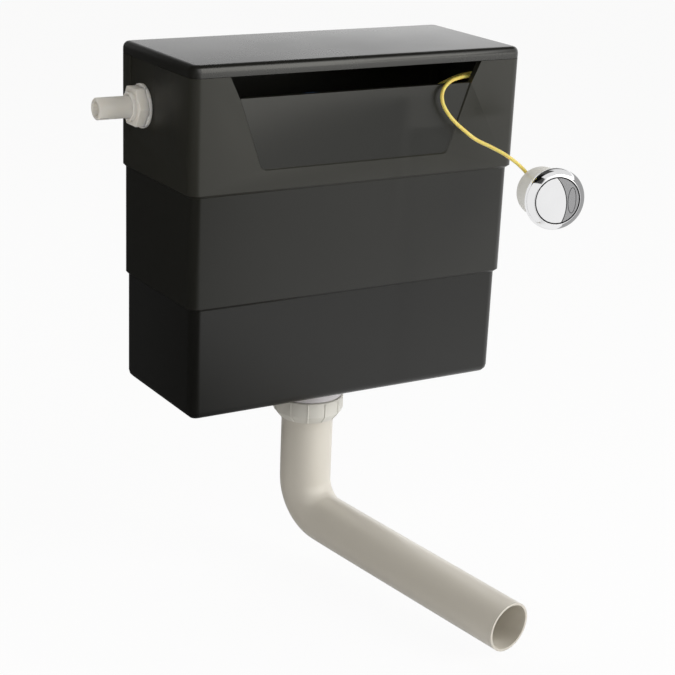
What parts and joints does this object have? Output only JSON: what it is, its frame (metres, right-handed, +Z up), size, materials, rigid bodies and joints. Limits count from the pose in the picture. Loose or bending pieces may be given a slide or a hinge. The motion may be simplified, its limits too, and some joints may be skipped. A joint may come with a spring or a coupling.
{
  "type": "concealed toilet cistern",
  "caption": "Slim tiered cistern tank with lift-off lid, side inlet, float fill valve, lifting flush core, bent flush pipe and a two-part push button on an air tube.",
  "frame": {"origin": "on the tank's back face, midway between the two wall keyholes, where the cistern lies against the wall", "axes": "+Z up, +Y into the wall, +X to the right as seen from the front"},
  "size_m": [0.4273, 0.3626, 0.5242],
  "materials": {
    "black_plastic": "satin moulded",
    "white_plastic": "satin moulded",
    "pale_plastic": "satin moulded",
    "blue_plastic": "satin moulded",
    "rubber": "matt",
    "chrome": "polished plating",
    "spring_steel": "drawn wire",
    "brass": "turned",
    "yellow_tube": "smooth, slightly clear"
  },
  "bodies": {
    "cistern": {"tank": "black_plastic", "inlet_back_nut": "pale_plastic", "fill_valve_body": "white_plastic", "inlet_washer": "rubber", "valve_diaphragm": "rubber", "fill_valve_cap": "blue_plastic", "arm_pivot_pin": "brass", "drop_tube": "white_plastic", "flush_valve_base": "white_plastic", "base_washer": "rubber", "valve_housing": "white_plastic", "actuator_platform": "blue_plastic", "actuator_bellows": "rubber", "outlet_back_nut": "white_plastic", "coupling_nut": "pale_plastic", "pipe_washer": "rubber", "air_tube": "yellow_tube", "button_bezel": "chrome", "button_housing": "pale_plastic", "housing_elbow": "pale_plastic", "large_spring": "spring_steel", "small_spring": "spring_steel", "large_bellows": "rubber", "small_bellows": "rubber"},
    "lid": {"lid": "black_plastic"},
    "float": {"float_arm": "blue_plastic", "float_rod": "white_plastic", "float_rod_nut": "blue_plastic", "float_cup": "white_plastic"},
    "flush_core": {"overflow_tube": "blue_plastic", "core_seal": "rubber", "core_float": "white_plastic", "lift_yoke": "blue_plastic"},
    "full_flush_button": {"large_button": "chrome"},
    "half_flush_button": {"small_button": "chrome"},
    "pipe": {"flush_pipe": "pale_plastic"}
  },
  "joints": [
    {"name": "lid_lift", "type": "slide", "parent": "cistern", "child": "lid", "axis": [0, 0, 1], "range_m": [0, 0.1]},
    {"name": "core_lift", "type": "slide", "parent": "cistern", "child": "flush_core", "axis": [0, 0, 1], "range_m": [0, 0.018], "deforming": ["actuator_bellows"]},
    {"name": "full_flush_press", "type": "slide", "parent": "cistern", "child": "full_flush_button", "axis": [0.2704, 0.9621, -0.0349], "range_m": [0, 0.0045], "stiffness_N_per_m": 800, "springref_m": -0.003, "deforming": ["large_spring", "large_bellows"]},
    {"name": "half_flush_press", "type": "slide", "parent": "cistern", "child": "half_flush_button", "axis": [0.2704, 0.9621, -0.0349], "range_m": [0, 0.0045], "stiffness_N_per_m": 600, "springref_m": -0.003, "deforming": ["small_spring", "small_bellows"]},
    {"name": "float_arm_swing", "type": "hinge", "parent": "cistern", "child": "float", "pos_m": [-0.10395, -0.0492, -0.0205], "axis": [0, -1, 0], "range_deg": [0, 20]},
    {"name": "flush_pipe_swivel", "type": "hinge", "parent": "cistern", "child": "pipe", "pos_m": [-0.0025, -0.0738, -0.33], "axis": [0, 0, 1], "range_deg": [-80, 75]}
  ],
  "couplings": [
    {"joint": "full_flush_press", "follows": "core_lift", "ratio": 0.25}
  ]
}
